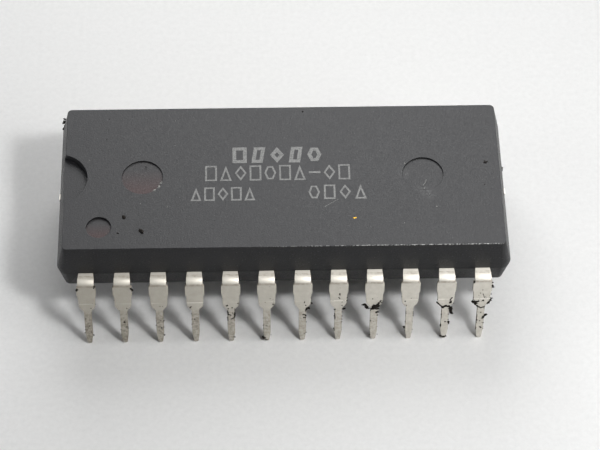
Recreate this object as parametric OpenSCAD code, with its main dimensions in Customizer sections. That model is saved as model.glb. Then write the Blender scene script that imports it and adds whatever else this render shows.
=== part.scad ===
// Wide 24-lead dual in-line integrated circuit: a transfer-moulded epoxy body on a stamped
// leadframe, with the die, its pad and its bond wires inside.
// Millimetres. The origin is under the middle of the body, on the plane of the lead tips.
// +X runs along the body, away from the notched end, and +Z is up. Lead 1 is at -X, -Y.

/* [Moulded body] */
// Body beyond the centre of each end lead, measured at the parting plane
end_margin = 2.03; // [1.6:0.01:3]
// Body width at the parting plane
body_w = 13.3; // [12:0.02:14.6]
// Height of the moulding above the parting plane
upper_h = 2.25; // [1.6:0.05:2.8]
// Height of the moulding below the parting plane
lower_h = 1.93; // [1.5:0.01:2.6]
// Height of the underside above the lead tips
stand_h = 3.88; // [3.6:0.02:4.6]
// Draft of the four sides, so that the mould halves release
draft = 12.5; // [5:0.5:14]
// Radius of the upright corners at the top face
corner_r = 0.32; // [0.28:0.01:1]

/* [Marks moulded into the body] */
// Radius of the half-round notch at the lead 1 end
notch_r = 2.1; // [1.2:0.05:2.6]
// Depth of the notch below the top face
notch_depth = 0.55; // [0.3:0.05:1.2]
// Diameter of each ejector pin mark
ejector_d = 2.9; // [1.6:0.05:3.6]
// Depth of each ejector pin mark
ejector_depth = 0.12; // [0.05:0.01:0.3]
// Each ejector pin mark from its end of the body, at the parting plane
ejector_end = 6; // [5:0.1:8]
// Diameter of the lead 1 dot
dot_d = 1.75; // [1:0.05:2.2]
// Depth of the lead 1 dot
dot_depth = 0.18; // [0.1:0.01:0.4]
// Lead 1 dot from the end of the body, at the parting plane
dot_end = 3; // [2.4:0.05:4]
// Lead 1 dot from the long side of the body, at the parting plane
dot_side = 2.35; // [1.8:0.05:3]

/* [Leads] */
// Leads along each long side
leads_per_side = 12; // [8:2:14]
// Distance between neighbouring leads
pitch = 2.54; // [2.3:0.01:2.8]
// Level run of each lead from the side of the body to its bend. It sets how far apart the rows
// stand: 15.24 across their outsides just below the bends.
lead_run = 0.53; // [0.3:0.01:1.2]
// Thickness of the leadframe strip
lead_t = 0.25; // [0.2:0.01:0.3]
// Lean of each leg out from upright, as formed and before it is pressed into a board
splay = 12.5; // [2:0.5:15]
// Inside radius of each bend
bend_r = 0.2; // [0.15:0.01:0.3]
// Lead width where it leaves the body
exit_w = 1.05; // [0.8:0.01:1.15]
// Lead width round the bend
bend_w = 1.16; // [1:0.01:1.25]
// Lead width across the stubs that the cut dam bar leaves
stub_w = 1.36; // [1.26:0.01:1.6]
// Length of the stubs down the leg
stub_h = 0.85; // [0.5:0.01:1]
// Run over which the leg widens from the bend out to the stubs
stub_lead_in = 0.08; // [0.04:0.01:0.15]
// Run over which the leg narrows again below the stubs
stub_step = 0.12; // [0.06:0.01:0.2]
// Leg width just below the stubs
leg_w = 1.24; // [1.16:0.01:1.25]
// Leg width where the shoulders start
shoulder_w = 1.17; // [1:0.01:1.2]
// Outward radius of each shoulder
shoulder_r = 0.65; // [0.4:0.01:0.8]
// Inward radius where each shoulder runs into the pin
throat_r = 0.4; // [0.2:0.01:0.5]
// Width of the pin that goes through the board
pin_w = 0.53; // [0.4:0.01:0.6]
// Length of the wide part of the leg, from the bend down to its shoulders
leg_upper_h = 1.75; // [1.2:0.05:2.2]
// Length of the taper at the tip of the pin
taper_h = 0.85; // [0.4:0.05:1.2]
// Width of the pin's blunt end
tip_w = 0.34; // [0.2:0.01:0.38]

/* [Leadframe inside the body] */
// Length of the die pad
pad_l = 6; // [5.2:0.1:6.6]
// Width of the die pad
pad_w = 5; // [4.4:0.1:5.6]
// How far the die pad is set down below the leads
downset = 0.3; // [0.1:0.01:0.5]
// Width of the bar that ties the pad to each end of the frame
tie_w = 0.5; // [0.3:0.01:0.6]
// Run of the step between a tie bar and the pad
step_run = 0.6; // [0.4:0.05:1]
// How far each cut tie bar stands out of the end of the body
tie_stub = 0.05; // [0.02:0.01:0.1]
// Gap between the pad and the bond tips of the leads
tip_gap = 0.5; // [0.4:0.05:0.8]
// Width of a lead at its bond tip
finger_w = 0.4; // [0.3:0.01:0.46]
// Lead width at its knee inside the body
knee_w = 0.7; // [0.5:0.01:0.8]
// Width of the barb that locks each lead into the moulding
barb_w = 1.5; // [1.3:0.01:1.7]
// Wall of moulding outside each barb
barb_in = 0.35; // [0.25:0.01:0.5]
// Length of each barb along the lead
barb_h = 0.6; // [0.4:0.01:0.8]
// Length over which a barb widens, and narrows again
barb_slope = 0.2; // [0.1:0.01:0.3]
// Distance of the end leads' knees from the long centre line
knee_end = 2.3; // [1.8:0.05:3]
// Gap between a tie bar and the row of bond tips beside it
tie_clear = 0.25; // [0.15:0.01:0.4]

/* [Die and bond wires] */
// Length of the silicon die
die_l = 4.6; // [3.6:0.1:5]
// Width of the silicon die
die_w = 3.8; // [3:0.1:4.2]
// Thickness of the silicon die
die_t = 0.38; // [0.25:0.01:0.5]
// Thickness of the die attach layer
attach_t = 0.03; // [0.02:0.005:0.06]
// How far the die attach layer shows round the die
attach_rim = 0.1; // [0.05:0.01:0.2]
// Diameter of the bond wire
wire_d = 0.033; // [0.025:0.001:0.05]
// Diameter of the ball bond on the die
ball_d = 0.09; // [0.07:0.005:0.12]
// Thickness of the ball bond
ball_t = 0.04; // [0.03:0.005:0.06]
// Rise of each wire loop above the straight line between its two bonds
loop_h = 0.3; // [0.2:0.01:0.45]
// Edge of the die to the middle of its bond pads
bond_inset = 0.12; // [0.08:0.01:0.2]
// Bond tip of a lead to the middle of its stitch bond
stitch_in = 0.25; // [0.15:0.01:0.35]

/* [Hidden] */
lead_count = 2 * leads_per_side;
fingers_per_quarter = leads_per_side / 2;
lead_names = [for (n = [1:lead_count]) str("lead_", n < 10 ? "0" : "", n)];
wire_names = [for (n = [1:lead_count]) str("bond_wire_", n < 10 ? "0" : "", n)];
$fn = 64;

// Levels
part_z = stand_h + lower_h;
top_z = part_z + upper_h;
pad_z = part_z - downset;
die_z = pad_z + attach_t;
die_top = die_z + die_t;

// Body outline
body_l = (leads_per_side - 1) * pitch + 2 * end_margin;
end_x = body_l / 2;
side_y = body_w / 2;
upper_inset = upper_h * tan(draft);
lower_inset = lower_h * tan(draft);
// Corner radius at the parting plane. The cones that round the corners stand a little outside
// the sides, so that each one crosses them cleanly.
parting_r = corner_r + upper_inset;
corner_over = 0.002;
// Reach of cutting shapes past what they cut
past = 0.5;

// Bend and leg
outer_r = bend_r + lead_t;
bend_y = side_y + lead_run;
bend_z = part_z - outer_r;
leg_h = (bend_z + bend_r * sin(splay)) / cos(splay);
shoulder_drop = (shoulder_w - pin_w) / 2;
shoulder_turn = acos(1 - shoulder_drop / (shoulder_r + throat_r));
shoulder_h = (shoulder_r + throat_r) * sin(shoulder_turn);
throat_v = leg_upper_h + shoulder_h;
// Corner radius of the pin's blunt end
tip_r = tip_w * 0.35;
arc_steps = 5;

// Fingers: the knees of a quarter lie on a sine, and the tips on two sides of a rectangle
side_fingers = floor(fingers_per_quarter / 2);
front_fingers = fingers_per_quarter - side_fingers;
tip_x = pad_l / 2 + tip_gap;
tip_y = pad_w / 2 + tip_gap;
// Room left free at a corner of that rectangle, as a share of the step from tip to tip
corner_share = 0.15;
tip_row = tie_w / 2 + tie_clear;
side_step = (tip_y - tip_row) / (side_fingers + corner_share);
front_step = tip_x / (front_fingers + corner_share);
knee_middle = side_y - barb_in - barb_h - 2 * barb_slope;

// Place of a point of radius r at angle a from a centre
function polar(centre, r, a) = [centre[0] + r * cos(a), centre[1] + r * sin(a)];

// Points along an arc, ends included
function arc(centre, r, from, to) =
    [for (i = [0:arc_steps]) polar(centre, r, from + (to - from) * i / arc_steps)];

// The same points with the other sign across, in reverse order
function mirrored(points) = [for (i = [len(points) - 1:-1:0]) [-points[i][0], points[i][1]]];

function unit(v) = v / norm(v);
function left_of(v) = [-v[1], v[0]];

// Sideways direction of a path at point i, lengthened at a corner so that the strip keeps its width
function mitre(path, i) =
    let (
        into = unit(path[i] - path[max(i - 1, 0)] + (i == 0 ? path[1] - path[0] : [0, 0])),
        out = i == len(path) - 1 ? into : unit(path[i + 1] - path[i]),
        both = unit(left_of(into) + left_of(out))
    )
    both / (both * left_of(out));

// Outline of a flat strip that follows a path with a half width at each of its points
function strip(path, half) = concat(
    [for (i = [0:len(path) - 1]) path[i] + mitre(path, i) * half[i]],
    [for (i = [len(path) - 1:-1:0]) path[i] - mitre(path, i) * half[i]]
);

// Lead i of a row, counted from the -X end. Its quarter counts from the end lead inward.
function lead_x(i) = (i - (leads_per_side - 1) / 2) * pitch;
function row_side(i) = i < fingers_per_quarter ? -1 : 1;
function rank(i) = min(i, leads_per_side - 1 - i);
function at_side(k) = k < side_fingers;
function knee_y(k) =
    knee_end + (knee_middle - knee_end) * sin(90 * k / (fingers_per_quarter - 1));
function tip_at(k) = at_side(k)
    ? [tip_x, tip_row + (k + 1 / 2) * side_step]
    : [(fingers_per_quarter - k - 1 / 2) * front_step, tip_y];

function knee_point(i) = [lead_x(i), -knee_y(rank(i))];
function tip_point(i) = [row_side(i) * tip_at(rank(i))[0], -tip_at(rank(i))[1]];

// Flat part of a lead, from its bend through the wall and past the barb to the bond tip
function finger_path(i) = let (x = lead_x(i), wall = side_y - barb_in) [
    [x, -bend_y],
    [x, -side_y],
    [x, -wall],
    [x, -(wall - barb_slope)],
    [x, -(wall - barb_slope - barb_h)],
    knee_point(i) - [0, barb_slope / 4],
    tip_point(i)
];
finger_half = [bend_w, exit_w, exit_w, barb_w, barb_w, knee_w, finger_w] / 2;

// One side of the leg's outline: across, and down from the end of the bend
leg_side = concat(
    [[bend_w / 2, 0], [stub_w / 2, stub_lead_in]],
    [[stub_w / 2, stub_h], [leg_w / 2, stub_h + stub_step]],
    arc([shoulder_w / 2 - shoulder_r, leg_upper_h], shoulder_r, 0, shoulder_turn),
    arc([pin_w / 2 + throat_r, throat_v], throat_r, 180 + shoulder_turn, 180),
    [[pin_w / 2, leg_h - taper_h]],
    arc([tip_w / 2 - tip_r, leg_h - tip_r], tip_r, 0, 90)
);

// Where lead i's wire leaves the die and where it lands on the lead
function bond_point(i) = let (k = rank(i), s = row_side(i)) at_side(k)
    ? [s * (die_l / 2 - bond_inset), -tip_at(k)[1] * (die_w / 2 - bond_inset) / tip_y]
    : [s * tip_at(k)[0] * (die_l / 2 - bond_inset) / tip_x, -(die_w / 2 - bond_inset)];
function stitch_point(i) = tip_point(i) + unit(knee_point(i) - tip_point(i)) * stitch_in;

// Outline across the drafted body: its half width at the parting plane
module drafted_outline(half) {
    polygon([
        [half - lower_inset, stand_h], [half, part_z], [half - upper_inset, top_z],
        [upper_inset - half, top_z], [-half, part_z], [lower_inset - half, stand_h]
    ]);
}

// What is cut away outside one rounded corner of the drafted body
module corner_cut() {
    r = parting_r + corner_over;
    slope = tan(draft);
    low = stand_h - past * corner_r;
    high = top_z + past * corner_r;
    difference() {
        translate([0, 0, low]) cube([parting_r + past, parting_r + past, high - low]);
        rotate_extrude()
            polygon([[0, low], [r - (part_z - low) * slope, low], [r, part_z],
                     [r - (high - part_z) * slope, high], [0, high]]);
    }
}

module body_blank() {
    difference() {
        intersection() {
            rotate([90, 0, 90]) translate([0, 0, -end_x - past])
                linear_extrude(body_l + 2 * past) drafted_outline(side_y);
            rotate([90, 0, 0]) translate([0, 0, -side_y - past])
                linear_extrude(body_w + 2 * past) drafted_outline(end_x);
        }
        for (sx = [0, 1], sy = [0, 1]) mirror([sx, 0, 0]) mirror([0, sy, 0])
            translate([end_x - parting_r, side_y - parting_r, 0]) corner_cut();
    }
}

// Recesses of the mould: the notch, the lead 1 dot, and the ejector pin marks of both faces
module moulded_marks() {
    translate([-end_x, 0, top_z - notch_depth]) cylinder(r = notch_r, h = notch_depth + past);
    translate([dot_end - end_x, dot_side - side_y, top_z - dot_depth])
        cylinder(d = dot_d, h = dot_depth + past);
    for (side = [-1, 1]) {
        translate([side * (end_x - ejector_end), 0, 0]) {
            translate([0, 0, top_z - ejector_depth]) cylinder(d = ejector_d, h = ejector_depth + past);
            translate([0, 0, stand_h - past]) cylinder(d = ejector_d, h = ejector_depth + past);
        }
    }
}

module epoxy_body() {
    color("#5a5a5c") difference() {
        body_blank();
        moulded_marks();
        for (n = [1:lead_count]) finger(n);
        die_pad();
        die_attach();
        silicon_die();
        for (n = [1:lead_count]) bond_wire(n);
    }
}

// Leads are numbered round the body from the notch: along -Y to +X, then back along +Y
module in_row(n) {
    rotate([0, 0, n > leads_per_side ? 180 : 0]) children();
}
function row_index(n) = (n - 1) % leads_per_side;

module finger(n) {
    in_row(n) translate([0, 0, part_z - lead_t]) linear_extrude(lead_t)
        polygon(strip(finger_path(row_index(n)), finger_half));
}

module bend_and_leg() {
    rotate(180, [1, 0, 1]) rotate_extrude(angle = 90 - splay)
        translate([bend_r, -bend_w / 2]) square([lead_t, bend_w]);
    rotate([-90 - splay, 0, 0]) translate([0, 0, -outer_r]) linear_extrude(lead_t)
        polygon(concat(leg_side, mirrored(leg_side)));
}

module lead(n) {
    color("#c9c5bb") {
        finger(n);
        in_row(n) translate([lead_x(row_index(n)), -bend_y, bend_z]) bend_and_leg();
    }
}

// Side view of the tie bar at the +X end: level with the leads at the wall, then down to the pad
module tie_outline() {
    low = pad_l / 2 - past / 2;
    step_in = pad_l / 2 + step_run / 2;
    polygon([
        [low, pad_z - lead_t], [step_in, pad_z - lead_t], [step_in + step_run, part_z - lead_t],
        [end_x + tie_stub, part_z - lead_t], [end_x + tie_stub, part_z],
        [step_in + step_run, part_z], [step_in, pad_z], [low, pad_z]
    ]);
}

module die_pad() {
    color("#b9b6ae") {
        translate([-pad_l / 2, -pad_w / 2, pad_z - lead_t]) cube([pad_l, pad_w, lead_t]);
        for (end = [0, 1]) mirror([end, 0, 0]) rotate([90, 0, 0]) translate([0, 0, -tie_w / 2])
            linear_extrude(tie_w) tie_outline();
    }
}

module die_attach() {
    l = die_l + 2 * attach_rim;
    w = die_w + 2 * attach_rim;
    color("#8f8f93") translate([-l / 2, -w / 2, pad_z]) cube([l, w, attach_t]);
}

module silicon_die() {
    color("#4a5568") translate([-die_l / 2, -die_w / 2, die_z]) cube([die_l, die_w, die_t]);
}

// Wire in its own upright plane: one arc from the ball bond at the origin to a stitch bond at a
// distance along +X and a drop below. It starts in the middle of the ball.
module wire_loop(reach, drop) {
    start = ball_t / 2;
    chord = norm([reach, start + drop]);
    tilt = atan2(start + drop, reach);
    r = (chord * chord / 4 + loop_h * loop_h) / (2 * loop_h);
    half_turn = asin(chord / 2 / r);
    // The arc runs on below the stitch and is cut level there
    over = asin(2 * wire_d / r);
    cylinder(d = ball_d, h = ball_t);
    difference() {
        translate([0, 0, start]) rotate([0, tilt, 0]) translate([chord / 2, 0, loop_h - r])
            rotate([90, 0, 0]) rotate([0, 0, 90 - half_turn - over])
                rotate_extrude(angle = 2 * half_turn + over) translate([r, 0]) circle(d = wire_d);
        translate([reach / 2, -ball_d, -drop - past]) cube([reach, 2 * ball_d, past]);
    }
    translate([reach, 0, -drop]) cylinder(d = ball_d, h = ball_t / 2);
}

module bond_wire(n) {
    from = bond_point(row_index(n));
    to = stitch_point(row_index(n));
    along = to - from;
    color("#d4a72c") in_row(n) translate([from[0], from[1], die_top])
        rotate([0, 0, atan2(along[1], along[0])]) wire_loop(norm(along), die_top - part_z);
}

epoxy_body();
for (n = [1:lead_count]) lead(n);
die_pad();
die_attach();
silicon_die();
for (n = [1:lead_count]) bond_wire(n);
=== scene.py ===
# Dresses a wide 24-lead dual in-line chip. The moulded body, the leads and the leadframe inside it
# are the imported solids. This file gives them their finish and soft edges, and adds the printed
# marking, the flux and dust that lie on them, and the stage.
import math
import random

import bmesh
import bpy
from bpy.props import FloatProperty, FloatVectorProperty, IntProperty, PointerProperty
from bpy.types import Operator, Panel, PropertyGroup
from mathutils import Matrix, Vector, noise


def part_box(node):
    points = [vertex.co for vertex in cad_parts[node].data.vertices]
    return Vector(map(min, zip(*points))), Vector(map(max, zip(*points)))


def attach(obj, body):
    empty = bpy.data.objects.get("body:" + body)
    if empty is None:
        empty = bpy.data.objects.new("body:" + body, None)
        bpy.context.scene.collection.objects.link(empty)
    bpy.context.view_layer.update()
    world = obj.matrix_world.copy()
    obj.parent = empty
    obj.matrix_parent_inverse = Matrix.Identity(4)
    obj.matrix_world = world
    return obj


bl_info = {
    "name": "Dual in-line chip",
    "version": (1, 0, 0),
    "blender": (4, 5, 0),
    "location": "View3D > Sidebar > Chip",
    "description": "Finish, marking, residue and stage for a 24-lead dual in-line chip",
    "category": "Object",
}

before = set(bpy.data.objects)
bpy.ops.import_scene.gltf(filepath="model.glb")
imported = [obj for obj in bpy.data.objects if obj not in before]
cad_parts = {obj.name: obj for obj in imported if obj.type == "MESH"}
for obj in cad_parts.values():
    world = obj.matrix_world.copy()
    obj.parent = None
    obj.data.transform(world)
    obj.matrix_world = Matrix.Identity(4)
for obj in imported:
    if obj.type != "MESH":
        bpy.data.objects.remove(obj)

MM = 0.001
MICRON = 0.000001
BODY = "epoxy_body"
LEADS = sorted(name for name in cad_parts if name.startswith("lead_"))
WIRES = sorted(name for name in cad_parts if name.startswith("bond_wire_"))
PER_SIDE = len(LEADS) // 2

# Levels and outline of the solids, in millimetres
body_low, body_high = (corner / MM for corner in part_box(BODY))
TOP_Z = body_high.z
UNDERSIDE_Z = body_low.z
PARTING_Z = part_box(LEADS[0])[1].z / MM
PITCH = (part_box(LEADS[1])[0].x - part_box(LEADS[0])[0].x) / MM


def linear(hex_colour):
    """Linear red, green and blue of an sRGB hex colour."""
    def channel(value):
        share = value / 255
        return share / 12.92 if share <= 0.04045 else ((share + 0.055) / 1.055) ** 2.4
    number = int(hex_colour.lstrip("#"), 16)
    return tuple(channel(number >> shift & 255) for shift in (16, 8, 0))


# Shades inside the patterns of the materials
# Near-black dots of painted shade, where tiny pits would hold shade
PIT_SHADE = linear("#060606")
# Painted shade along the parting plane
PARTING_SHADE = linear("#0c0c0d")
TIN_SPECK = linear("#4a4238")
CHAR_LIGHT = linear("#211a13")
DUST_DARK = linear("#8c8c88")
BRASS_DARK = linear("#8d6a1f")
STRIP_LIGHT = linear("#b4b1a9")
STRIP_DARK = linear("#938f87")
EPOXY_SILVER = linear("#8b8b8e")
SILVER_FLAKE = linear("#c9c9cc")
DIE_BLOCK = linear("#4c5a70")
DIE_BLOCK_LIGHT = linear("#6b6f86")
DIE_LINES = linear("#2b323f")
GOLD_LIGHT = linear("#e6bd57")
GOLD_DARK = linear("#c99a3a")

# Dust on the top face: where it lies and how far it reaches, in millimetres
DUST_SMEARS = ((10.3, -1.75, 0.2), (8.6, 0.1, 0.1), (9.9, -1.2, 0.1))
# Painted shade on the leads: fine dark lines across the runs where forming pressed shallow
# grooves, from the middle of the chip, and a broader dark band under the bend, from the parting plane
FORMING_GROOVE_SHADES = (6.93, 7.04)
DARK_BAND_DROP = 0.3
# The paper shows its own tone up to here, and the backdrop's from here
PAPER_NEAR = 50
PAPER_FAR = 130


def colour(name, description, hex_colour):
    return FloatVectorProperty(name=name, description=description, subtype="COLOR", size=3,
                               min=0, max=1, default=linear(hex_colour))


def length(name, description, millimetres):
    return FloatProperty(name=name, description=description, unit="LENGTH", precision=6,
                         min=0, default=millimetres * MM)


def fraction(name, description, part):
    return FloatProperty(name=name, description=description, subtype="FACTOR", min=0, soft_max=1,
                         default=part)


class ChipBodyProperties(PropertyGroup):
    edge_radius: length("Edge radius", "Rounding of the body's top and bottom edges", 0.045)
    draft: FloatProperty(name="Draft", description="Lean of the body's four sides", subtype="ANGLE",
                         default=math.radians(12.5))
    compound: colour("Compound", "Epoxy moulding compound", "#151516")
    compound_light: colour("Compound, light", "Compound where more filler shows", "#252527")
    filler: colour("Filler", "Silica grains and dust on the surface", "#8b8c8b")
    stain: colour("Stain", "Brown stain in two of the recesses", "#472421")
    # Pale filler on the rubbed front top edge, and the painted highlight along that edge
    scuff_and_highlight: colour("Scuff", "Edge rubbed down to pale filler", "#c6c6c3")
    grain: length("Grain", "Width of the surface grain", 0.1)
    texture_depth: length("Texture depth", "Depth of the spark-eroded mould texture", 0.017)
    ejector_in: length("Ejector marks", "From the ends of the body to the ejector marks", 6)
    ejector_d: length("Ejector mark", "Diameter of an ejector mark", 2.9)
    dot_x: length("Dot, end", "From the end of the body to the lead 1 dot", 3)
    dot_y: length("Dot, side", "From the side of the body to the lead 1 dot", 2.35)
    dot_d: length("Dot", "Diameter of the lead 1 dot", 1.7)


class ChipLeadProperties(PropertyGroup):
    edge_radius: length("Edge roll", "Rounding that blanking leaves on the lead's edges", 0.03)
    thickness: length("Thickness", "Thickness of the leadframe strip", 0.25)
    bend_radius: length("Bend radius", "Inside radius of the bend", 0.2)
    splay: FloatProperty(name="Splay", description="Lean of the legs out from upright",
                         subtype="ANGLE", default=math.radians(12.5))
    tin: colour("Tin", "Matte tin plate", "#cbc7be")
    solder: colour("Solder", "Bright ridge that the solder dip left", "#f6f3ec")
    # This dull tone also serves as the painted shade of the leads towards the left end
    dull_and_shaded_tin: colour("Dull tin", "Tin plate that has greyed", "#a19c91")
    tarnish: colour("Tarnish", "Brown-grey film on the soldered end of the legs", "#837c70")
    # This colour also paints shade: the lines across the runs, the band under the bend and the sides
    # of the leads
    cut_face_and_shade: colour("Cut face", "Browned alloy on the blanked faces", "#7a6f60")
    solder_line: length("Solder line", "Height up to which the legs were once soldered", 3.85)
    pin_top: length("Pin top", "Height of the lower end of the shoulders", 2.95)


class ChipMarkingProperties(PropertyGroup):
    ink: colour("Ink", "Grey marking ink", "#868684")
    ink_worn: colour("Worn ink", "Ink where the grain shows through", "#585857")
    thickness: length("Thickness", "Height of the ink above the top face", 0.01)
    stroke: length("Stroke", "Width of a printed line", 0.13)
    bold_stroke: length("Bold stroke", "Width of a bold printed line", 0.27)


class ChipResidueProperties(PropertyGroup):
    flux: colour("Flux", "Charred flux", "#0d0b09")
    dust: colour("Dust", "Pale dust", "#a9a9a5")
    fleck: colour("Fleck", "Brass fleck", "#c79a35")
    seed: IntProperty(name="Seed", description="Seed of the small crumbs", default=7, min=0)
    crumb: length("Crumb", "Half width of the finest crumbs", 0.018)


class ChipStageProperties(PropertyGroup):
    floor: colour("Floor", "Pale paper", "#f3f3f2")
    daylight: colour("Light", "Colour of the lamps", "#ffffff")
    sky: colour("Sky", "Colour of the even light from all round", "#eef1f6")
    sky_share: fraction("Sky share", "Light that the even sky gives the paper", 0.03)
    backdrop: fraction("Backdrop", "Brightness of the backdrop that the camera and the metal see", 0.8)
    key_share: fraction("Key share", "Light that the small lamp at the right front gives it", 0.35)
    window_share: fraction("Window share", "Light that the window at the back gives it", 0.4)
    side_share: fraction("Side share", "Light that the lamp close to the right end gives it", 0.16)
    fill_share: fraction("Fill share", "Light that the low soft box at the left gives it", 0.07)
    haze_share: fraction("Haze share", "Reflections that the card high at the right adds", 0.6)
    top_share: fraction("Top share", "Reflections that the card high at the back adds", 0.34)
    legs_share: fraction("Legs share", "Reflections that the low card at the right front adds", 0.35)
    lens: FloatProperty(name="Lens", description="Focal length on a 36 mm sensor", default=131.6)
    elevation: FloatProperty(name="Elevation", description="Camera above the horizon",
                             subtype="ANGLE", default=math.radians(54.99))
    swing: FloatProperty(name="Swing", description="Camera round to the left of the front",
                         subtype="ANGLE", default=math.radians(2.31))
    roll: FloatProperty(name="Roll", description="Tilt of the picture", subtype="ANGLE",
                        default=math.radians(1.11))
    distance: length("Distance", "Camera to the point it looks at", 163.67)
    aim_x: FloatProperty(name="Aim, along", description="Point looked at, along the chip",
                         unit="LENGTH", default=1.349 * MM)
    aim_y: FloatProperty(name="Aim, across", description="Point looked at, across the chip",
                         unit="LENGTH", default=1.306 * MM)


def add_node(tree, kind, inputs=None, **settings):
    """Adds a node, sets its properties, and links or sets its inputs."""
    made = tree.nodes.new(kind)
    for name, value in settings.items():
        setattr(made, name, value)
    for socket, value in (inputs or {}).items():
        if isinstance(value, bpy.types.NodeSocket):
            tree.links.new(value, made.inputs[socket])
        else:
            made.inputs[socket].default_value = value
    return made


def start_material(name):
    """A material with an empty tree, and its object coordinates in millimetres."""
    material = bpy.data.materials.new(name)
    material.use_nodes = True
    tree = material.node_tree
    tree.nodes.clear()
    place = add_node(tree, "ShaderNodeTexCoord").outputs["Object"]
    in_mm = add_node(tree, "ShaderNodeVectorMath", {0: place, 1: [1 / MM] * 3}, operation="MULTIPLY")
    return material, tree, in_mm.outputs[0]


def finish_material(tree, inputs):
    shader = add_node(tree, "ShaderNodeBsdfPrincipled", inputs)
    add_node(tree, "ShaderNodeOutputMaterial", {"Surface": shader.outputs[0]})


def pattern(tree, place, size, detail=2.0, roughness=0.5, stretch=(1, 1, 1)):
    """Noise whose features are about a given number of millimetres wide."""
    scaled = add_node(tree, "ShaderNodeVectorMath", {0: place, 1: stretch}, operation="MULTIPLY")
    return add_node(tree, "ShaderNodeTexNoise", {
        "Vector": scaled.outputs[0], "Scale": 1 / size, "Detail": detail, "Roughness": roughness,
    }).outputs[0]


def between(tree, value, low, high, to_low=0.0, to_high=1.0):
    """A value's place between two limits, clamped, on another range."""
    return add_node(tree, "ShaderNodeMapRange", {
        "Value": value, "From Min": low, "From Max": high, "To Min": to_low, "To Max": to_high,
    }).outputs[0]


def times(tree, first, second):
    return add_node(tree, "ShaderNodeMath", {0: first, 1: second}, operation="MULTIPLY").outputs[0]


def blend_colours(tree, share, first, second):
    """First colour where the share is 0, and the second where it is 1."""
    given = {0: share}
    for socket, value in ((6, first), (7, second)):
        given[socket] = value if isinstance(value, bpy.types.NodeSocket) else (*value, 1)
    return add_node(tree, "ShaderNodeMix", given, data_type="RGBA").outputs[2]


def relief(tree, height, depth):
    """Normals for a height pattern of the given depth in metres."""
    return add_node(tree, "ShaderNodeBump", {"Height": height, "Distance": depth}).outputs[0]


def spots(tree, place, spacing, radius, kept):
    """Round spots of a given radius, in a share of the cells that are a given spacing apart."""
    cells = add_node(tree, "ShaderNodeTexVoronoi", {"Vector": place, "Scale": 1 / spacing})
    chosen = add_node(tree, "ShaderNodeSeparateColor", {0: cells.outputs["Color"]}).outputs[0]
    inside = between(tree, cells.outputs["Distance"], radius / spacing, radius / spacing * 0.6)
    return times(tree, inside, between(tree, chosen, 1 - kept, 1 - kept + 0.01))


def near(tree, place, axes, point, radius, soft):
    """1 within a radius of a point, measured along the axes that are marked 1."""
    flat = add_node(tree, "ShaderNodeVectorMath", {0: place, 1: axes}, operation="MULTIPLY")
    away = add_node(tree, "ShaderNodeVectorMath", {0: flat.outputs[0], 1: point}, operation="DISTANCE")
    return between(tree, away.outputs["Value"], radius + soft, radius)


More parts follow.
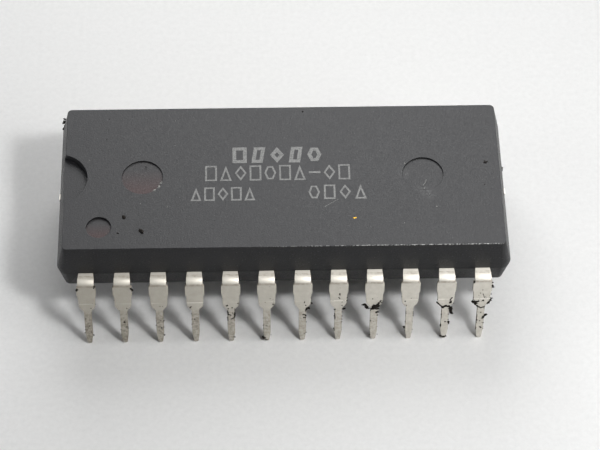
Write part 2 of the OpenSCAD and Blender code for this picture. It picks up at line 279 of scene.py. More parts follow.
def moulding_compound(look):
    """Epoxy filled with fused silica, transfer-moulded in a spark-eroded cavity.

    The eroded mould leaves a fine matte grain, so the near-black resin scatters to a soft grey
    where it mirrors a light. Loose dust shows the pale filler, and so does the rubbed front top
    edge, which also carries a painted highlight. Pits and the parting line carry painted shade.
    """
    material, tree, place = start_material("Moulded epoxy compound")
    x, y, z = add_node(tree, "ShaderNodeSeparateXYZ", {0: place}).outputs[:3]
    grain = pattern(tree, place, look.grain / MM, detail=3, roughness=0.65)
    # Flow marks of the compound are some millimetres wide
    flow = pattern(tree, place, 3.5, detail=3)
    tone = blend_colours(tree, between(tree, grain, 0.42, 0.58), look.compound, look.compound_light)
    tone = blend_colours(tree, between(tree, flow, 0.3, 0.75, 0, 0.35), tone, look.compound_light)

    # Grains of filler are some hundredths of a millimetre across
    filler = spots(tree, place, 0.22, 0.04, 0.5)
    tone = blend_colours(tree, times(tree, filler, 0.16), tone, look.filler)
    # Tiny pits are painted as near-black dots: painted shade
    pit_shade = spots(tree, place, 0.34, 0.045, 0.3)
    tone = blend_colours(tree, times(tree, pit_shade, 0.8), tone, PIT_SHADE)
    # Dust lies thin on a few places of the top
    dust = pattern(tree, place, 0.2, detail=5, roughness=0.75)
    for smear_x, smear_y, reach in DUST_SMEARS:
        patch = near(tree, place, (1, 1, 0), (smear_x, smear_y, 0), reach, 0.5)
        cover = times(tree, patch, between(tree, dust, 0.46, 0.66, 0, 0.26))
        tone = blend_colours(tree, cover, tone, look.filler)

    # Painted shade: a thin dark line along the foot of the upper mould half, at the parting plane
    parting = near(tree, place, (0, 0, 1), (0, 0, PARTING_Z + 0.03), 0.03, 0.04)
    tone = blend_colours(tree, times(tree, parting, 0.7), tone, PARTING_SHADE)

    # Brown stain on the floor of the left ejector mark and of the lead 1 dot
    low_x = body_low.x
    side_y = body_low.y
    ejector = (low_x + look.ejector_in / MM, 0, 0)
    dot = (low_x + look.dot_x / MM, side_y + look.dot_y / MM, 0)
    below_top = between(tree, z, TOP_Z - 0.02, TOP_Z - 0.06)
    for centre, diameter in ((ejector, look.ejector_d), (dot, look.dot_d)):
        radius = diameter / MM / 2
        floor_mask = near(tree, place, (1, 1, 0), centre, radius, 0.1)
        lower = between(tree, y, centre[1] + radius * 0.5, centre[1] - radius * 0.8, 0.05, 1)
        stained = times(tree, times(tree, floor_mask, below_top), lower)
        tone = blend_colours(tree, times(tree, stained, 0.5), tone, look.stain)

    # The long top edge at the front is painted pale, most of all at its right end: partly filler
    # that rubbing bared, partly a painted highlight where the edge catches the light from the right
    top_y = side_y + (TOP_Z - PARTING_Z) * math.tan(look.draft)
    edge = near(tree, place, (0, 1, 1), (0, top_y, TOP_Z), 0.022, 0.035)
    along = between(tree, x, -3, 9, 0.0, 1)
    patchy = between(tree, pattern(tree, place, 0.11, detail=2, stretch=(0.7, 1, 1)), 0.46, 0.58)
    rubbed_and_highlit = times(tree, times(tree, edge, along), patchy)
    tone = blend_colours(tree, rubbed_and_highlit, tone, look.scuff_and_highlight)

    roughness = between(tree, grain, 0.38, 0.62, 0.34, 0.54)
    finish_material(tree, {
        "Base Color": tone, "Roughness": roughness, "IOR": 1.35,
        "Normal": relief(tree, grain, look.texture_depth),
    })
    return material


def matte_tin(look):
    """Electroplated matte tin on nickel-iron strip, formed cold and once soldered.

    Matte tin is a pale warm grey with a broad highlight. Forming stretches it brighter over the
    bend, and the soldered ends have turned grey under a brown film. Towards the left end the
    leads carry painted shade.
    """
    material, tree, place = start_material("Matte tin plate")
    x, y, z = add_node(tree, "ShaderNodeSeparateXYZ", {0: place}).outputs[:3]
    cloud = pattern(tree, place, 0.55, detail=3, roughness=0.6)
    # Crystals of matte tin are a few microns wide, drawn here coarse enough to show
    crystals = pattern(tree, place, 0.05, detail=2, roughness=0.7)
    tone = blend_colours(tree, between(tree, cloud, 0.35, 0.68, 0, 0.22), look.tin, look.dull_and_shaded_tin)

    # Painted shade: the leads are darkened towards the left end, where less light reaches them,
    # and the runs less than the legs
    painted_shade = times(tree, between(tree, x, 10, -13, 0.0, 0.75),
                   between(tree, z, PARTING_Z - 0.01, PARTING_Z - 0.12, 0.7, 1))
    tone = blend_colours(tree, painted_shade, tone, look.dull_and_shaded_tin)
    pin = between(tree, z, look.pin_top / MM + 0.35, look.pin_top / MM - 0.3)
    film = between(tree, pattern(tree, place, 0.22, detail=5, roughness=0.75), 0.42, 0.62)
    heavy = between(tree, x, 12, -13, 0.2, 1)
    tone = blend_colours(tree, times(tree, times(tree, pin, film), heavy), tone, look.tarnish)
    # The solder dip left a thin pale ridge of solder across each leg
    ridge = near(tree, place, (0, 0, 1), (0, 0, look.solder_line / MM), 0.02, 0.03)
    in_places = between(tree, pattern(tree, place, 2.2, detail=1), 0.42, 0.6, 0.0, 0.5)
    tone = blend_colours(tree, times(tree, ridge, in_places), tone, look.solder)
    # Painted shade: fine dark lines across the run, just before the bend, where forming pressed
    # shallow grooves
    folded = add_node(tree, "ShaderNodeVectorMath", {0: place}, operation="ABSOLUTE").outputs[0]
    wavy = pattern(tree, place, 0.25, detail=2)
    for far in FORMING_GROOVE_SHADES:
        groove_shade = times(tree, near(tree, folded, (0, 1, 0), (0, far, 0), 0.012, 0.03),
                        between(tree, wavy, 0.4, 0.6, 0.2, 0.7))
        tone = blend_colours(tree, groove_shade, tone, look.cut_face_and_shade)
    # and a broader band of painted shade under the bend
    band_shade = times(tree, near(tree, place, (0, 0, 1), (0, 0, PARTING_Z - DARK_BAND_DROP), 0.05, 0.08),
                    between(tree, wavy, 0.35, 0.6, 0.2, 0.5))
    tone = blend_colours(tree, band_shade, tone, look.cut_face_and_shade)
    # The faces that the blanking cut bare are painted darker on both sides of each lead: partly
    # their browned alloy, partly painted shade on the sides of the leads
    facing = add_node(tree, "ShaderNodeNewGeometry").outputs["True Normal"]
    sideways = add_node(tree, "ShaderNodeSeparateXYZ", {0: facing}).outputs[0]
    square = times(tree, sideways, sideways)
    cut_and_side_shade = times(tree, between(tree, square, 0.3, 0.7), between(tree, cloud, 0.3, 0.6, 0.4, 0.9))
    tone = blend_colours(tree, cut_and_side_shade, tone, look.cut_face_and_shade)
    specks = spots(tree, place, 0.33, 0.035, 0.2)
    tone = blend_colours(tree, times(tree, specks, 0.6), tone, TIN_SPECK)

    roughness = between(tree, cloud, 0.3, 0.7, 0.6, 0.7)
    finish_material(tree, {
        "Base Color": tone, "Metallic": 1.0, "Roughness": roughness,
        "Normal": relief(tree, crystals, 2 * MICRON),
    })
    return material


def marking_ink(look):
    """Heat-cured grey ink, pad-printed on the grain of the moulding.

    The ink is thin, so it looks matte and lets the grain show through as worn points.
    """
    material, tree, place = start_material("Pad-printed marking ink")
    grain = pattern(tree, place, 0.1, detail=3, roughness=0.7)
    tone = blend_colours(tree, between(tree, grain, 0.42, 0.68), look.ink, look.ink_worn)
    finish_material(tree, {
        "Base Color": tone, "Roughness": between(tree, grain, 0.3, 0.7, 0.55, 0.7), "IOR": 1.5,
        "Normal": relief(tree, grain, 5 * MICRON),
    })
    return material


def charred_flux(look):
    """Rosin flux that has charred and set as brittle crumbs.

    The char is porous, so it is near black and mirrors hardly any light.
    """
    material, tree, place = start_material("Charred rosin flux")
    lumps = pattern(tree, place, 0.04, detail=3)
    tone = blend_colours(tree, between(tree, lumps, 0.35, 0.7), look.flux, CHAR_LIGHT)
    finish_material(tree, {
        "Base Color": tone, "Roughness": between(tree, lumps, 0.3, 0.7, 0.7, 0.9), "IOR": 1.25,
        "Normal": relief(tree, lumps, 6 * MICRON),
    })
    return material


def loose_dust(look):
    """Pale mineral dust and rubbed filler, quite matte."""
    material, tree, place = start_material("Pale dust")
    lumps = pattern(tree, place, 0.03)
    tone = blend_colours(tree, lumps, look.dust, DUST_DARK)
    finish_material(tree, {"Base Color": tone, "Roughness": 0.8, "IOR": 1.5})
    return material


def brass_fleck(look):
    """A sliver of turned brass, bright and yellow."""
    material, tree, place = start_material("Brass sliver")
    lumps = pattern(tree, place, 0.02)
    tone = blend_colours(tree, lumps, look.fleck, BRASS_DARK)
    finish_material(tree, {"Base Color": tone, "Metallic": 1.0, "Roughness": 0.35})
    return material


def bare_alloy():
    """Cold-rolled nickel-iron strip as stamped, grey with fine lines along the roll."""
    material, tree, place = start_material("Rolled nickel-iron strip")
    lines = pattern(tree, place, 0.04, detail=2, stretch=(0.05, 1, 1))
    tone = blend_colours(tree, lines, STRIP_LIGHT, STRIP_DARK)
    finish_material(tree, {
        "Base Color": tone, "Metallic": 1.0, "Roughness": between(tree, lines, 0.3, 0.7, 0.3, 0.42),
        "Normal": relief(tree, lines, 1.5 * MICRON),
    })
    return material


def silver_epoxy():
    """Epoxy paste loaded with silver flake, cured dull with a slight sparkle."""
    material, tree, place = start_material("Silver-filled epoxy")
    flakes = spots(tree, place, 0.06, 0.02, 0.5)
    tone = blend_colours(tree, flakes, EPOXY_SILVER, SILVER_FLAKE)
    finish_material(tree, {"Base Color": tone, "Metallic": 0.6, "Roughness": 0.5})
    return material


def silicon_die():
    """Sawn silicon with its circuit under clear glass: blue-grey blocks parted by fine lines."""
    material, tree, place = start_material("Passivated silicon")
    blocks = add_node(tree, "ShaderNodeTexBrick", {
        "Vector": place, "Color1": (*DIE_BLOCK, 1), "Color2": (*DIE_BLOCK_LIGHT, 1),
        "Mortar": (*DIE_LINES, 1), "Scale": 1.0, "Mortar Size": 0.02,
        "Brick Width": 0.62, "Row Height": 0.31,
    })
    finish_material(tree, {
        "Base Color": blocks.outputs["Color"], "Metallic": 0.3, "Roughness": 0.2, "IOR": 1.46,
        "Coat Weight": 0.6,
    })
    return material


def gold_wire():
    """Drawn gold wire, smooth and warm."""
    material, tree, place = start_material("Drawn gold wire")
    lines = pattern(tree, place, 0.02)
    tone = blend_colours(tree, lines, GOLD_LIGHT, GOLD_DARK)
    finish_material(tree, {"Base Color": tone, "Metallic": 1.0, "Roughness": 0.25})
    return material


def paper(look):
    """Uncoated white paper: matte, with a faint mottle of fibres.

    Far from the chip, the rays that show the background see it as bright as the backdrop.
    """
    material, tree, place = start_material("Uncoated paper")
    fibres = pattern(tree, place, 0.35, detail=4, roughness=0.7)
    shade = tuple(0.93 * value for value in look.floor)
    tone = blend_colours(tree, between(tree, fibres, 0.3, 0.7), look.floor, shade)
    sheet = add_node(tree, "ShaderNodeBsdfPrincipled", {
        "Base Color": tone, "Roughness": 0.9, "Normal": relief(tree, fibres, 8 * MICRON),
    })
    glow = add_node(tree, "ShaderNodeEmission", {"Color": (*look.sky, 1), "Strength": look.backdrop})
    away = add_node(tree, "ShaderNodeVectorMath", {0: place}, operation="LENGTH").outputs["Value"]
    far = times(tree, between(tree, away, PAPER_NEAR, PAPER_FAR), background_ray(tree))
    seen = add_node(tree, "ShaderNodeMixShader", {0: far, 1: sheet.outputs[0], 2: glow.outputs[0]})
    add_node(tree, "ShaderNodeOutputMaterial", {"Surface": seen.outputs[0]})
    return material


def background_ray(tree):
    """1 for the rays that show the background: the camera's, and those off metal or through glass."""
    path = add_node(tree, "ShaderNodeLightPath").outputs
    off_metal = add_node(tree, "ShaderNodeMath", {0: path["Is Camera Ray"], 1: path["Is Glossy Ray"]},
                         operation="ADD").outputs[0]
    return add_node(tree, "ShaderNodeMath", {0: off_metal, 1: path["Is Transmission Ray"]},
                    operation="ADD", use_clamp=True).outputs[0]


def soft_edges(name, lowest, highest, least_angle):
    """Nodes that weld a solid's mesh, and mark its sharp edges outside two levels for a bevel."""
    tree = bpy.data.node_groups.new(name, "GeometryNodeTree")
    tree.interface.new_socket("Geometry", in_out="INPUT", socket_type="NodeSocketGeometry")
    tree.interface.new_socket("Geometry", in_out="OUTPUT", socket_type="NodeSocketGeometry")
    given = add_node(tree, "NodeGroupInput")
    welded = add_node(tree, "GeometryNodeMergeByDistance",
                      {0: given.outputs[0], "Distance": 0.5 * MICRON})
    plain = add_node(tree, "GeometryNodeRemoveAttribute",
                     {0: welded.outputs[0], "Name": "custom_normal"})
    angle = add_node(tree, "GeometryNodeInputMeshEdgeAngle").outputs[0]
    place = add_node(tree, "GeometryNodeInputPosition").outputs[0]
    height = add_node(tree, "ShaderNodeSeparateXYZ", {0: place}).outputs[2]
    sharp, above, below = (
        add_node(tree, "FunctionNodeCompare", {0: value, 1: limit}, operation=operation).outputs[0]
        for value, limit, operation in ((angle, least_angle, "GREATER_THAN"),
                                        (height, highest, "GREATER_THAN"),
                                        (height, lowest, "LESS_THAN")))
    outside = add_node(tree, "FunctionNodeBooleanMath", {0: above, 1: below}, operation="OR")
    chosen, left_sharp = (
        add_node(tree, "FunctionNodeBooleanMath", {0: sharp, 1: outside.outputs[0]},
                 operation=operation).outputs[0] for operation in ("AND", "NIMPLY"))
    weighted = add_node(tree, "GeometryNodeStoreNamedAttribute", {
        0: plain.outputs[0], "Name": "bevel_weight_edge", "Value": chosen,
    }, domain="EDGE", data_type="FLOAT")
    smooth = add_node(tree, "GeometryNodeSetShadeSmooth",
                      {0: weighted.outputs[0], "Shade Smooth": True})
    band_shade = add_node(tree, "GeometryNodeSetShadeSmooth", {
        0: smooth.outputs[0], "Selection": left_sharp, "Shade Smooth": False,
    }, domain="EDGE")
    add_node(tree, "NodeGroupOutput", {0: band_shade.outputs[0]})
    return tree


# Least angle between the faces of an edge that counts as sharp
SHARP = math.radians(40)


def round_edges(node, group, radius, segments):
    """Rounds the edges of a solid that its nodes mark, and keeps its broad faces flat."""
    node.modifiers.new("Weld and mark edges", "NODES").node_group = group
    flat = node.modifiers.new("Flat faces", "DECIMATE")
    flat.decimate_type = "DISSOLVE"
    flat.angle_limit = math.radians(0.4)
    bevel = node.modifiers.new("Rounded edges", "BEVEL")
    bevel.limit_method = "WEIGHT"
    bevel.width = radius
    bevel.segments = segments
    node.modifiers.new("Flat shading of broad faces", "WEIGHTED_NORMAL").keep_sharp = True


def finish_node(name, material):
    """Gives a solid its material in every slot."""
    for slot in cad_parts[name].material_slots:
        slot.material = material


def add_piece(name, mesh, material):
    """A new object of the chip, on its only body and with the record's finish."""
    piece = bpy.data.objects.new(name, mesh)
    bpy.context.scene.collection.objects.link(piece)
    mesh.materials.append(material)
    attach(piece, "root")
    return piece


def mesh_of(name, shape):
    """Turns a bmesh in millimetres into a mesh in metres."""
    bmesh.ops.scale(shape, vec=(MM, MM, MM), verts=shape.verts)
    bmesh.ops.recalc_face_normals(shape, faces=shape.faces)
    mesh = bpy.data.meshes.new(name)
    shape.to_mesh(mesh)
    shape.free()
    return mesh


class CHIP_OT_moulded_body(Operator):
    """Finish the moulded body and round its edges"""
    bl_idname = "chip.moulded_body"
    bl_label = "Moulded body"

    def execute(self, context):
        look = context.scene.chip_body
        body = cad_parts[BODY]
        finish_node(BODY, moulding_compound(look))
        hair = 0.005
        group = soft_edges("Body edges", (UNDERSIDE_Z + hair) * MM, (TOP_Z - hair) * MM, SHARP)
        round_edges(body, group, look.edge_radius, 3)
        return {"FINISHED"}


class CHIP_OT_leads(Operator):
    """Finish the tinned leads and round their blanked edges"""
    bl_idname = "chip.leads"
    bl_label = "Leads"

    def execute(self, context):
        look = context.scene.chip_leads
        tin = matte_tin(look)
        # Every edge lies below 1 m, so this takes all the sharp ones
        group = soft_edges("Lead edges", 1, 1, SHARP)
        for name in LEADS:
            finish_node(name, tin)
            round_edges(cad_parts[name], group, look.edge_radius, 2)
        return {"FINISHED"}


class CHIP_OT_leadframe(Operator):
    """Finish the die pad, the die and the bond wires inside the body"""
    bl_idname = "chip.leadframe"
    bl_label = "Pad, die and wires"

    def execute(self, context):
        finish_node("die_pad", bare_alloy())
        finish_node("die_attach", silver_epoxy())
        finish_node("silicon_die", silicon_die())
        gold = gold_wire()
        for name in WIRES:
            finish_node(name, gold)
        return {"FINISHED"}


def prism(shape, outline, low, high):
    """Closed prism over an outline, between two levels."""
    bottom = [shape.verts.new((point[0], point[1], low)) for point in outline]
    top = [shape.verts.new((point[0], point[1], high)) for point in outline]
    shape.faces.new(top)
    shape.faces.new(reversed(bottom))
    count = len(outline)
    for i in range(count):
        j = (i + 1) % count
        shape.faces.new((bottom[i], bottom[j], top[j], top[i]))


def ring_prism(shape, outer, inner, low, high):
    """Closed band between two outlines with the same number of points."""
    levels = [[shape.verts.new((p[0], p[1], z)) for p in outline]
              for outline in (outer, inner) for z in (low, high)]
    outer_low, outer_high, inner_low, inner_high = levels
    count = len(outer)
    for i in range(count):
        j = (i + 1) % count
        shape.faces.new((outer_low[i], outer_low[j], outer_high[j], outer_high[i]))
        shape.faces.new((inner_low[j], inner_low[i], inner_high[i], inner_high[j]))
        shape.faces.new((outer_high[i], outer_high[j], inner_high[j], inner_high[i]))
        shape.faces.new((outer_low[j], outer_low[i], inner_low[i], inner_low[j]))


# Outlines of the marks in a box from -1 to 1 each way
SQUARE = [(-1, -1), (1, -1), (1, 1), (-1, 1)]
DIAMOND = [(0, -1), (1, 0), (0, 1), (-1, 0)]
TRIANGLE = [(-1, -1), (1, -1), (0, 1)]
HEXAGON = [(math.cos(math.radians(60 * i)), math.sin(math.radians(60 * i))) for i in range(6)]
SLANTED = [(-1, -1), (0.6, -1), (1, 1), (-0.6, 1)]
DASH = [(-1, -0.12), (1, -0.12), (1, 0.12), (-1, 0.12)]


def inset(outline, depth):
    """A convex outline moved inwards by a depth."""
    moved = []
    for before, corner, after in zip(outline[-1:] + outline[:-1], outline, outline[1:] + outline[:1]):
        first, second = (corner - before).normalized(), (after - corner).normalized()
        inward = Vector((-first.y, first.x)) + Vector((-second.y, second.x))
        moved.append(corner + inward * depth / (1 + first.dot(second)))
    return moved


def print_mark(shape, outline, centre, width, height, levels, stroke=None):
    """Prints one mark, filled or as a line of a given width."""
    points = [Vector((centre[0] + x * width / 2, centre[1] + y * height / 2)) for x, y in outline]
    if stroke is None:
        prism(shape, points, *levels)
    else:
        ring_prism(shape, points, inset(points, stroke), *levels)


class CHIP_OT_marking(Operator):
    """Print rows of plain shapes on the top face"""
    bl_idname = "chip.marking"
    bl_label = "Marking"

    # Each row: its middle in millimetres, the width and height of a mark, the step between marks,
    # and the marks in order
    rows = (
        ("bold", (-0.38, 1.83), 1.02, 1.4, 1.34, (SQUARE, SLANTED, DIAMOND, SLANTED, HEXAGON)),
        ("line", (-0.36, 0.24), 0.84, 1.34, 1.055,
         (SQUARE, TRIANGLE, DIAMOND, SQUARE, HEXAGON, SQUARE, TRIANGLE, DASH, DIAMOND, SQUARE)),
        ("line", (-4.27, -1.57), 0.76, 1.18, 0.95, (TRIANGLE, SQUARE, DIAMOND, SQUARE, TRIANGLE)),
        ("line", (3.85, -1.5), 0.82, 1.26, 1.1, (HEXAGON, SQUARE, DIAMOND, TRIANGLE)),
    )

    def execute(self, context):
        look = context.scene.chip_marking
        levels = (TOP_Z - 0.004, TOP_Z + look.thickness / MM)
        strokes = {"bold": look.bold_stroke, "line": look.stroke}
        shape = bmesh.new()
        for kind, middle, width, height, step, marks in self.rows:
            first = middle[0] - step * (len(marks) - 1) / 2
            for i, outline in enumerate(marks):
                centre = (first + step * i, middle[1])
                stroke = None if outline is DASH else strokes[kind] / MM
                print_mark(shape, outline, centre, width, height, levels, stroke)
        add_piece("top_marking", mesh_of("top_marking", shape), marking_ink(look))
        return {"FINISHED"}


def crumb(shape, place, size, seed, turn):
    """One irregular flake with its sizes along X, Y and Z, turned and set in its place."""
    made = bmesh.ops.create_icosphere(shape, subdivisions=2, radius=0.5)["verts"]
    shift = Vector((seed * 3.1, seed * 1.7, seed * 2.3))
    for vert in made:
        rough = 1 + 0.9 * noise.noise(vert.co * 2.6 + shift) + 0.5 * noise.noise(vert.co * 7 + shift)
        flake = Vector(value * width * rough for value, width in zip(vert.co, size))
        vert.co = turn @ flake + place


def trail(shape, face, path, radius, rng, flatness=0.6):
    """Crumbs laid close together along a path on a face, so that they fuse into one crust."""
    corners = path if len(path) > 1 else (path[0], path[0])
    for start, end in zip(corners, corners[1:]):
        start, end = Vector(start), Vector(end)
        steps = max(2, math.ceil((end - start).length / (0.6 * radius)))
        for i in range(steps):
            spread = Vector((rng.uniform(-1, 1), rng.uniform(-1, 1))) * radius * 0.6
            width = 2 * radius * rng.uniform(0.8, 1.4)
            size = (width, width * rng.uniform(0.5, 1), width * flatness)
            spin = Matrix.Rotation(rng.uniform(0, math.pi), 3, "Z")
            place = face.at(*(start.lerp(end, i / steps) + spread))
            crumb(shape, place, size, rng.uniform(0, 99), face.turn @ spin)


class LegFace:
    """The outer face of the leg of a front lead: across it and down it from the bend."""

    def __init__(self, number, look):
        low, high = (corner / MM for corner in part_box(LEADS[number - 1]))
        middle = PITCH * (number - (PER_SIDE + 1) / 2)
        inner_r = look.bend_radius / MM
        outer_r = inner_r + look.thickness / MM
        lean = look.splay
        length = (high.z - outer_r + inner_r * math.sin(lean)) / math.cos(lean)
        self.across = Vector((1, 0, 0))
        self.down = Vector((0, -math.sin(lean), -math.cos(lean)))
        self.origin = Vector((middle, low.y + length * math.sin(lean),
                              high.z - outer_r + outer_r * math.sin(lean)))
        self.turn = Matrix((self.across, self.down, self.down.cross(self.across))).transposed()

    def at(self, across, down):
        return self.origin + self.across * across + self.down * down


class TopFace:
    """The flat top of the body and its drafted ends, along it and across it from the middle."""

    def __init__(self, look):
        self.turn = Matrix.Identity(3)
        self.slope = math.tan(look.draft)
        self.half = body_high.x - (TOP_Z - PARTING_Z) * self.slope

    def at(self, x, y):
        return Vector((x, y, TOP_Z - max(0, abs(x) - self.half) / self.slope))


def fused(name, shape, grain):
    """Fuses the overlapping crumbs of a bmesh in millimetres into a mesh in metres."""
    loose = bpy.data.objects.new(name, bpy.data.meshes.new(name))
    shape.to_mesh(loose.data)
    shape.free()
    bpy.context.scene.collection.objects.link(loose)
    skin = loose.modifiers.new("Fuse", "REMESH")
    skin.mode = "VOXEL"
    skin.voxel_size = grain
    skin.use_smooth_shade = True
    ready = loose.evaluated_get(bpy.context.evaluated_depsgraph_get())
    mesh = bpy.data.meshes.new_from_object(ready)
    mesh.name = name
    mesh.transform(Matrix.Scale(MM, 4))
    bpy.data.objects.remove(loose)
    return mesh


class CHIP_OT_residue(Operator):
    """Add the charred flux on the legs, and the dust and crumbs on the body"""
    bl_idname = "chip.residue"
    bl_label = "Residue"

    # Crusts of flux on the front leads: points across the leg and down it, and the half width,
    # in millimetres
    crusts = {
        1: ((((0.6, 0.1), (0.62, -0.15)), 0.06), (((-0.68, 0.3), (-0.6, 0.1)), 0.07),
            (((-0.2, 3.9),), 0.04), (((0.3, 4.7),), 0.05), (((-0.28, 4.5),), 0.04),
            (((-0.2, 3.1),), 0.035)),
        2: ((((0.7, 0.35), (0.64, 0.1)), 0.075), (((0.62, -0.2),), 0.04), (((0.0, 3.45),), 0.06),
            (((0.12, 3.97), (0.22, 3.95)), 0.055), (((0.25, 2.1),), 0.03)),
        3: ((((0.1, 3.4),), 0.045), (((0.28, 3.38),), 0.05), (((0.1, 4.1),), 0.05),
            (((0.3, 4.85),), 0.06), (((-0.26, 3.1),), 0.03)),
        4: ((((-0.32, 2.1),), 0.05), (((-0.24, 2.75),), 0.04), (((-0.05, 3.3),), 0.04),
            (((-0.2, 5.3),), 0.035)),
        5: ((((-0.27, 2.0),), 0.06), (((0.08, 2.2),), 0.055), (((0.5, 1.75),), 0.06),
            (((-0.2, 2.3),), 0.04), (((-0.27, 2.5), (-0.2, 2.9)), 0.04),
            (((-0.2, 2.85), (0.0, 2.95)), 0.04), (((0.0, 3.3), (0.25, 3.15), (0.26, 2.7)), 0.045),
            (((-0.25, 3.1), (-0.24, 3.5)), 0.035), (((0.22, 5.1),), 0.06), (((-0.22, 4.75),), 0.04)),
        6: ((((0.46, 1.9),), 0.06), (((-0.12, 1.7),), 0.035), (((-0.26, 5.1), (-0.18, 5.35)), 0.09),
            (((-0.1, 5.45), (0.05, 5.48)), 0.04), (((-0.1, 4.05), (0.08, 4.07)), 0.025)),
        7: ((((0.12, 1.75),), 0.05), (((0.36, 2.3), (0.28, 2.5)), 0.075), (((0.22, 2.62),), 0.05),
            (((0.44, 2.35), (0.52, 2.4)), 0.045), (((0.0, 2.95), (0.22, 3.0), (0.24, 3.15)), 0.04),
            (((0.08, 3.25),), 0.05), (((0.66, 1.85),), 0.06)),
        8: ((((0.3, 2.45), (0.5, 2.42)), 0.065), (((-0.24, 2.45), (-0.25, 2.6)), 0.055),
            (((-0.26, 2.9), (-0.24, 3.5)), 0.04), (((-0.27, 4.4), (-0.27, 4.5)), 0.045),
            (((0.08, 0.95), (0.1, 1.15)), 0.035), (((0.0, 1.3), (0.1, 1.45)), 0.03),
            (((0.27, 1.8),), 0.04), (((0.4, 1.6),), 0.03)),
        9: ((((-0.84, 2.1), (-0.68, 2.05), (-0.46, 2.45)), 0.085),
            (((-0.46, 2.45), (-0.3, 2.45)), 0.05),
            (((-0.14, 2.42), (0.04, 2.35), (0.28, 2.12)), 0.13), (((0.3, 2.1), (0.34, 1.85)), 0.06),
            (((0.4, 1.75), (0.5, 1.7)), 0.06), (((0.52, 1.92),), 0.05),
            (((0.1, 2.5), (0.38, 2.5)), 0.05),
            (((0.2, 2.85), (0.34, 2.78)), 0.07), (((0.27, 3.15),), 0.06), (((-0.22, 3.7),), 0.05),
            (((-0.24, 5.1),), 0.05)),
        10: ((((-0.33, 1.8),), 0.045), (((-0.36, 4.4), (-0.3, 4.36)), 0.07),
             (((-0.26, 2.8), (-0.25, 3.1)), 0.025), (((0.26, 2.8), (0.28, 3.3)), 0.025)),
        11: ((((-0.66, 1.9), (-0.48, 2.12)), 0.05), (((-0.48, 2.12), (-0.24, 2.42)), 0.045),
             (((-0.22, 2.45), (0.02, 2.3), (0.3, 2.42)), 0.075), (((0.34, 1.95),), 0.075),
             (((0.3, 1.75), (0.44, 1.45)), 0.035), (((0.56, 2.1),), 0.035),
             (((0.38, 2.45), (0.38, 2.9)), 0.09), (((0.34, 3.02), (0.5, 3.0)), 0.13),
             (((0.28, 3.85), (0.3, 4.1)), 0.055), (((0.05, 3.88),), 0.05),
             (((-0.27, 4.1), (-0.26, 4.4)), 0.04), (((-0.22, 5.3), (-0.05, 5.44), (0.2, 5.3)), 0.05),
             (((-0.25, 3.0), (-0.25, 3.6)), 0.02)),
        12: ((((-0.6, 1.85), (-0.34, 2.2)), 0.085), (((-0.3, 1.9), (-0.16, 1.88)), 0.06),
             (((-0.34, 2.3), (-0.08, 2.5)), 0.05), (((-0.04, 2.55), (0.28, 2.4)), 0.045),
             (((0.4, 2.15), (0.6, 1.85), (0.7, 1.55)), 0.05), (((0.5, 2.05),), 0.07),
             (((0.66, 1.2),), 0.05), (((0.7, 0.3), (0.74, 0.55)), 0.06), (((0.68, 0.05),), 0.05),
             (((-0.6, 0.1), (-0.62, -0.1)), 0.05),
             (((0.02, 0.8),), 0.04), (((-0.14, 1.1),), 0.035), (((-0.24, 1.3),), 0.035),
             (((0.06, 1.15), (0.2, 1.6)), 0.022), (((0.12, 1.75),), 0.035), (((0.38, 3.2),), 0.1),
             (((0.32, 3.3), (0.14, 3.6)), 0.06), (((-0.04, 3.85),), 0.05), (((-0.24, 4.0),), 0.04),
             (((-0.26, 4.6),), 0.04), (((0.1, 4.55),), 0.05), (((-0.24, 3.2), (-0.25, 3.9)), 0.022),
             (((0.02, 3.0),), 0.04)),
    }
    # Fine crumbs scattered on each front lead
    scatter = (10, 8, 12, 10, 14, 8, 12, 16, 14, 16, 18, 40)
    # Dark crumbs on the body's top face, then pale dust and dusty scratches, in the same terms
    dark = ((((-11.3, -3.42), (-11.2, -3.48)), 0.1), (((-10.05, -4.58), (-9.9, -4.7)), 0.13),
            (((-11.62, -4.85),), 0.07), (((-12.45, 5.25),), 0.035), (((-12.6, 3.4),), 0.035),
            (((1.55, 5.75),), 0.05), (((14.45, 0.9), (14.6, 0.98)), 0.065), (((14.5, 1.06),), 0.035),
            (((14.35, -1.02),), 0.03), (((-15.86, 6.6), (-15.9, 6.4)), 0.12),
            (((-15.87, 5.9), (-15.88, 5.76)), 0.1), (((16.04, 2.15), (16.06, 2.08)), 0.06),
            (((-9.75, 0.9),), 0.035))
    pale = ((((-13.8, 1.55),), 0.035), (((-7.7, 2.8),), 0.035), (((-7.7, 5.05),), 0.03),
            (((-10.1, -2.3),), 0.03), (((-8.2, -2.6),), 0.03), (((8.48, -4.28),), 0.04),
            (((10.81, -2.9),), 0.035), (((-8.62, -0.45), (-8.72, -0.62)), 0.045),
            (((-8.78, -0.8), (-8.85, -0.95)), 0.045), (((-9.05, -1.1), (-9.2, -1.2)), 0.04),
            (((8.72, 1.0), (8.8, 0.88)), 0.025), (((2.9, -2.78), (3.4, -2.45), (3.85, -2.18)), 0.01),
            (((10.22, -0.5), (10.12, -0.8), (9.92, -1.06)), 0.01), (((10.04, -1.3),), 0.025),
            (((10.42, -1.8),), 0.025))

    def execute(self, context):
        look = context.scene.chip_residue
        flux = charred_flux(look)
        rng = random.Random(look.seed)
        grain = look.crumb / MM
        for number in range(1, PER_SIDE + 1):
            shape = bmesh.new()
            leg = LegFace(number, context.scene.chip_leads)
            for path, radius in self.crusts[number]:
                trail(shape, leg, path, radius, rng)
            for _ in range(self.scatter[number - 1]):
                down = rng.uniform(1.2, 5.2)
                half = 0.6 if down < 1.9 else 0.26
                edge = rng.choice((-half, half, rng.uniform(-half, half)))
                trail(shape, leg, ((edge, down),), rng.uniform(1, 2.4) * grain, rng)
            name = f"flux_{number:02d}"
            add_piece(name, fused(name, shape, grain), flux)

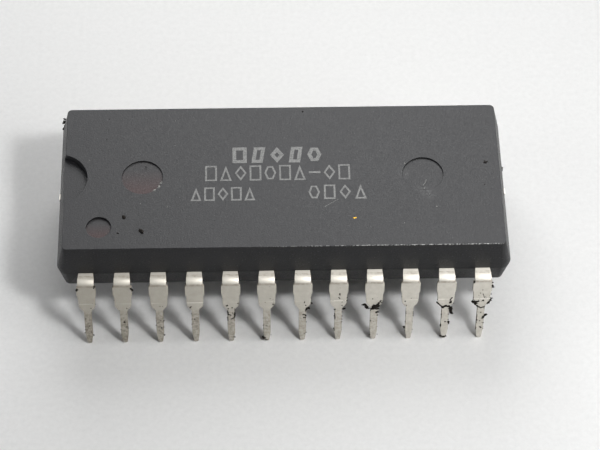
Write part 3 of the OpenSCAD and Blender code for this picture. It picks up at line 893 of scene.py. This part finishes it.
        top = TopFace(context.scene.chip_body)
        for name, paths, material in (("dark_crumbs", self.dark, flux),
                                      ("pale_dust", self.pale, loose_dust(look))):
            shape = bmesh.new()
            for path, radius in paths:
                trail(shape, top, path, radius, rng, flatness=0.8)
            add_piece(name, fused(name, shape, grain / 2), material)

        shape = bmesh.new()
        trail(shape, top, ((4.92, -3.8), (5.08, -3.75)), 0.05, rng, flatness=0.3)
        add_piece("brass_fleck", fused("brass_fleck", shape, grain), brass_fleck(look))
        return {"FINISHED"}


def area_lamp(name, place, size, part, tint, diffuse=True):
    """A square lamp that looks at the middle of the chip, with its place and size in millimetres.

    Its power gives the paper under the chip that part of the light at which white renders white.
    """
    place = Vector(place) * MM
    data = bpy.data.lights.new(name, "AREA")
    data.size = size * MM
    data.energy = part * math.pi ** 2 * place.length ** 3 / place.z
    data.color = tint
    lamp = bpy.data.objects.new(name, data)
    lamp.location = place
    lamp.rotation_euler = place.to_track_quat("Z", "Y").to_euler()
    lamp.visible_diffuse = diffuse
    bpy.context.scene.collection.objects.link(lamp)


class CHIP_OT_stage(Operator):
    """Lay the paper and set the lamps, the sky and the camera"""
    bl_idname = "chip.stage"
    bl_label = "Stage"

    def execute(self, context):
        look = context.scene.chip_stage
        scene = context.scene
        scene.view_settings.view_transform = "Standard"

        shape = bmesh.new()
        bmesh.ops.create_grid(shape, x_segments=1, y_segments=1, size=400)
        floor = bpy.data.objects.new("paper", mesh_of("paper", shape))
        floor.data.materials.append(paper(look))
        scene.collection.objects.link(floor)

        # The key stands so close that its shadows fan out, as the leads' shadows show
        area_lamp("key", (38, -35, 94), 15, look.key_share, look.daylight)
        area_lamp("window", (-5, 73, 70), 68, look.window_share, look.daylight)
        area_lamp("side", (62, -20, 48), 42, look.side_share, look.daylight)
        area_lamp("fill", (-120, -10, 45), 60, look.fill_share, look.daylight)
        # Cards that only the reflections see give the bends their shine and the top its haze
        area_lamp("card_haze", (90, 20, 170), 120, look.haze_share, look.daylight, diffuse=False)
        area_lamp("card_top", (50, 100, 170), 120, look.top_share, look.daylight, diffuse=False)
        area_lamp("card_legs", (70, -45, 50), 50, look.legs_share, look.daylight, diffuse=False)
        world = bpy.data.worlds.new("Even sky")
        scene.world = world
        world.use_nodes = True
        tree = world.node_tree
        # The background shows as a pale backdrop, and the chip gets only the sky's small share
        background = tree.nodes["Background"]
        background.inputs["Color"].default_value = (*look.sky, 1)
        tree.links.new(between(tree, background_ray(tree), 0, 1, look.sky_share, look.backdrop),
                       background.inputs["Strength"])

        data = bpy.data.cameras.new("camera")
        data.lens = look.lens
        data.clip_start = 0.005
        camera = bpy.data.objects.new("camera", data)
        around = Matrix.Rotation(-look.swing, 3, "Z")
        forward = around @ Vector((0, math.cos(look.elevation), -math.sin(look.elevation)))
        right = around @ Vector((1, 0, 0))
        up = right.cross(forward)
        right, up = (right * math.cos(look.roll) + up * math.sin(look.roll),
                     up * math.cos(look.roll) - right * math.sin(look.roll))
        turn = Matrix((right, up, -forward)).transposed()
        camera.matrix_world = Matrix.Translation(
            Vector((look.aim_x, look.aim_y, 0)) - forward * look.distance) @ turn.to_4x4()
        scene.collection.objects.link(camera)
        scene.camera = camera
        return {"FINISHED"}


STEPS = (CHIP_OT_stage, CHIP_OT_moulded_body, CHIP_OT_leads, CHIP_OT_leadframe, CHIP_OT_marking,
         CHIP_OT_residue)
SETTINGS = {
    "chip_body": ChipBodyProperties,
    "chip_leads": ChipLeadProperties,
    "chip_marking": ChipMarkingProperties,
    "chip_residue": ChipResidueProperties,
    "chip_stage": ChipStageProperties,
}


class CHIP_PT_panel(Panel):
    """Steps and sizes of the chip"""
    bl_idname = "CHIP_PT_panel"
    bl_label = "Dual in-line chip"
    bl_space_type = "VIEW_3D"
    bl_region_type = "UI"
    bl_category = "Chip"

    def draw(self, context):
        for step in STEPS:
            self.layout.operator(step.bl_idname)
        for name, group in SETTINGS.items():
            box = self.layout.box()
            for key in group.__annotations__:
                box.prop(getattr(context.scene, name), key)


def register():
    for group in SETTINGS.values():
        bpy.utils.register_class(group)
    for step in STEPS:
        bpy.utils.register_class(step)
    bpy.utils.register_class(CHIP_PT_panel)
    for name, group in SETTINGS.items():
        setattr(bpy.types.Scene, name, PointerProperty(type=group))


def unregister():
    for name in SETTINGS:
        delattr(bpy.types.Scene, name)
    for kind in (CHIP_PT_panel, *STEPS, *SETTINGS.values()):
        bpy.utils.unregister_class(kind)


def main():
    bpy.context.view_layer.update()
    register()
    for step in STEPS:
        group, name = step.bl_idname.split(".")
        getattr(getattr(bpy.ops, group), name)()


if __name__ == "__main__":
    main()
